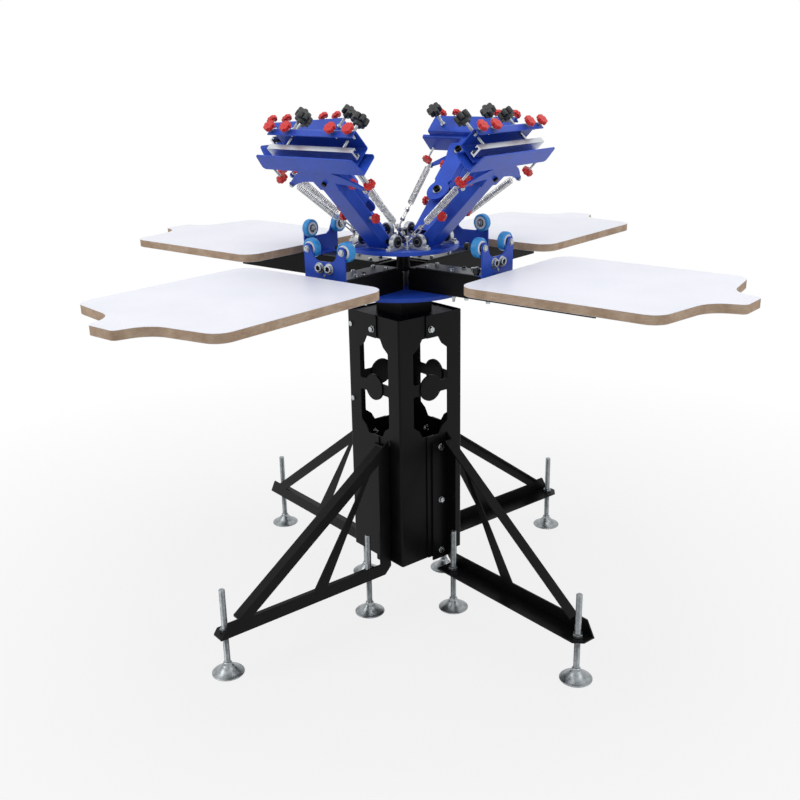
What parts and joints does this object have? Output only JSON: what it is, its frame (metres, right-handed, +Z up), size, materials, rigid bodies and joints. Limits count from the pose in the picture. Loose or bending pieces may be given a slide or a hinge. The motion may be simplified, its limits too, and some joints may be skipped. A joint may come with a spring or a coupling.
{
  "type": "screen printing press",
  "caption": "Floor-standing carousel screen printing press: square column on braced legs, turning print boards and sprung tilting arms with screen clamps.",
  "frame": {"origin": "on the floor, on the axis of both carousels", "axes": "+Z up, +X along station 1, +Y along station 2; the stand is turned 11.5 degrees clockwise from them, as in the picture"},
  "size_m": [1.774, 1.774, 1.2973],
  "materials": {
    "black_enamel": "satin black powder coat",
    "blue_enamel": "satin blue powder coat",
    "zinc_plate": "zinc plated",
    "turned_steel": "turned",
    "laminated_board": "white laminate on fibreboard",
    "aluminium": "extruded, brushed",
    "spring_steel": "zinc plated wire",
    "roller_plastic": "moulded tyre"
  },
  "bodies": {
    "stand": {"column_post_1": "black_enamel", "column_post_2": "black_enamel", "column_post_3": "black_enamel", "column_post_4": "black_enamel", "leg_1": "black_enamel", "leg_2": "black_enamel", "leg_3": "black_enamel", "leg_4": "black_enamel", "levelling_foot_1": "zinc_plate", "levelling_foot_2": "zinc_plate", "levelling_foot_3": "zinc_plate", "levelling_foot_4": "zinc_plate", "levelling_foot_5": "zinc_plate", "levelling_foot_6": "zinc_plate", "levelling_foot_7": "zinc_plate", "levelling_foot_8": "zinc_plate", "pedestal": "black_enamel", "main_shaft": "turned_steel"},
    "board_carousel": {"lower_disc": "blue_enamel", "board_arm_1": "black_enamel", "board_arm_2": "black_enamel", "board_arm_3": "black_enamel", "board_arm_4": "black_enamel", "print_board_1": "laminated_board", "print_board_2": "laminated_board", "print_board_3": "laminated_board", "print_board_4": "laminated_board", "roller_bracket_1": "blue_enamel", "roller_bracket_2": "blue_enamel", "roller_bracket_3": "blue_enamel", "roller_bracket_4": "blue_enamel"},
    "arm_carousel": {"upper_disc": "blue_enamel"},
    "arm_1": {"print_arm_1": "blue_enamel", "lift_spring_1a": "spring_steel", "lift_spring_1b": "spring_steel"},
    "head_1": {"print_head_1": "blue_enamel"},
    "rail_1": {"clamp_rail_1": "aluminium"},
    "roller_1a": {"roller_1a": "roller_plastic"},
    "roller_1b": {"roller_1b": "roller_plastic"},
    "arm_2": {"print_arm_2": "blue_enamel", "lift_spring_2a": "spring_steel", "lift_spring_2b": "spring_steel"},
    "head_2": {"print_head_2": "blue_enamel"},
    "rail_2": {"clamp_rail_2": "aluminium"},
    "roller_2a": {"roller_2a": "roller_plastic"},
    "roller_2b": {"roller_2b": "roller_plastic"},
    "arm_3": {"print_arm_3": "blue_enamel", "lift_spring_3a": "spring_steel", "lift_spring_3b": "spring_steel"},
    "head_3": {"print_head_3": "blue_enamel"},
    "rail_3": {"clamp_rail_3": "aluminium"},
    "roller_3a": {"roller_3a": "roller_plastic"},
    "roller_3b": {"roller_3b": "roller_plastic"},
    "arm_4": {"print_arm_4": "blue_enamel", "lift_spring_4a": "spring_steel", "lift_spring_4b": "spring_steel"},
    "head_4": {"print_head_4": "blue_enamel"},
    "rail_4": {"clamp_rail_4": "aluminium"},
    "roller_4a": {"roller_4a": "roller_plastic"},
    "roller_4b": {"roller_4b": "roller_plastic"}
  },
  "joints": [
    {"name": "board_carousel_turn", "type": "hinge", "parent": "stand", "child": "board_carousel", "pos_m": [0, 0, 0.858], "axis": [0, 0, 1], "continuous": true},
    {"name": "arm_carousel_turn", "type": "hinge", "parent": "stand", "child": "arm_carousel", "pos_m": [0, 0, 0.965], "axis": [0, 0, 1], "continuous": true},
    {"name": "arm_lift_1", "type": "hinge", "parent": "arm_carousel", "child": "arm_1", "pos_m": [0.095, 0, 0.989], "axis": [0, -1, 0], "range_deg": [-45, 0], "stiffness_Nm_per_rad": 5, "springref_deg": 114.59, "deforming": ["lift_spring_1a", "lift_spring_1b"]},
    {"name": "head_swivel_1", "type": "hinge", "parent": "arm_1", "child": "head_1", "pos_m": [0.24052, 0, 1.17299], "axis": [-0.7071, 0, 0.7071], "range_deg": [-3, 3]},
    {"name": "clamp_slide_1", "type": "slide", "parent": "head_1", "child": "rail_1", "axis": [-0.7071, 0, 0.7071], "range_m": [-0.0035, 0.02]},
    {"name": "roller_spin_1a", "type": "hinge", "parent": "board_carousel", "child": "roller_1a", "pos_m": [0.2672, 0.0535, 0.991], "axis": [1, 0, 0], "continuous": true},
    {"name": "roller_spin_1b", "type": "hinge", "parent": "board_carousel", "child": "roller_1b", "pos_m": [0.2672, -0.0535, 0.991], "axis": [1, 0, 0], "continuous": true},
    {"name": "arm_lift_2", "type": "hinge", "parent": "arm_carousel", "child": "arm_2", "pos_m": [0, 0.095, 0.989], "axis": [1, 0, 0], "range_deg": [-45, 0], "stiffness_Nm_per_rad": 5, "springref_deg": 114.59, "deforming": ["lift_spring_2a", "lift_spring_2b"]},
    {"name": "head_swivel_2", "type": "hinge", "parent": "arm_2", "child": "head_2", "pos_m": [0, 0.24052, 1.17299], "axis": [0, -0.7071, 0.7071], "range_deg": [-3, 3]},
    {"name": "clamp_slide_2", "type": "slide", "parent": "head_2", "child": "rail_2", "axis": [0, -0.7071, 0.7071], "range_m": [-0.0035, 0.02]},
    {"name": "roller_spin_2a", "type": "hinge", "parent": "board_carousel", "child": "roller_2a", "pos_m": [-0.0535, 0.2672, 0.991], "axis": [0, 1, 0], "continuous": true},
    {"name": "roller_spin_2b", "type": "hinge", "parent": "board_carousel", "child": "roller_2b", "pos_m": [0.0535, 0.2672, 0.991], "axis": [0, 1, 0], "continuous": true},
    {"name": "arm_lift_3", "type": "hinge", "parent": "arm_carousel", "child": "arm_3", "pos_m": [-0.095, 0, 0.989], "axis": [0, 1, 0], "range_deg": [-45, 0], "stiffness_Nm_per_rad": 5, "springref_deg": 114.59, "deforming": ["lift_spring_3a", "lift_spring_3b"]},
    {"name": "head_swivel_3", "type": "hinge", "parent": "arm_3", "child": "head_3", "pos_m": [-0.24052, 0, 1.17299], "axis": [0.7071, 0, 0.7071], "range_deg": [-3, 3]},
    {"name": "clamp_slide_3", "type": "slide", "parent": "head_3", "child": "rail_3", "axis": [0.7071, 0, 0.7071], "range_m": [-0.0035, 0.02]},
    {"name": "roller_spin_3a", "type": "hinge", "parent": "board_carousel", "child": "roller_3a", "pos_m": [-0.2672, -0.0535, 0.991], "axis": [-1, 0, 0], "continuous": true},
    {"name": "roller_spin_3b", "type": "hinge", "parent": "board_carousel", "child": "roller_3b", "pos_m": [-0.2672, 0.0535, 0.991], "axis": [-1, 0, 0], "continuous": true},
    {"name": "arm_lift_4", "type": "hinge", "parent": "arm_carousel", "child": "arm_4", "pos_m": [0, -0.095, 0.989], "axis": [-1, 0, 0], "range_deg": [-45, 0], "stiffness_Nm_per_rad": 5, "springref_deg": 114.59, "deforming": ["lift_spring_4a", "lift_spring_4b"]},
    {"name": "head_swivel_4", "type": "hinge", "parent": "arm_4", "child": "head_4", "pos_m": [0, -0.24052, 1.17299], "axis": [0, 0.7071, 0.7071], "range_deg": [-3, 3]},
    {"name": "clamp_slide_4", "type": "slide", "parent": "head_4", "child": "rail_4", "axis": [0, 0.7071, 0.7071], "range_m": [-0.0035, 0.02]},
    {"name": "roller_spin_4a", "type": "hinge", "parent": "board_carousel", "child": "roller_4a", "pos_m": [0.0535, -0.2672, 0.991], "axis": [0, -1, 0], "continuous": true},
    {"name": "roller_spin_4b", "type": "hinge", "parent": "board_carousel", "child": "roller_4b", "pos_m": [-0.0535, -0.2672, 0.991], "axis": [0, -1, 0], "continuous": true}
  ]
}
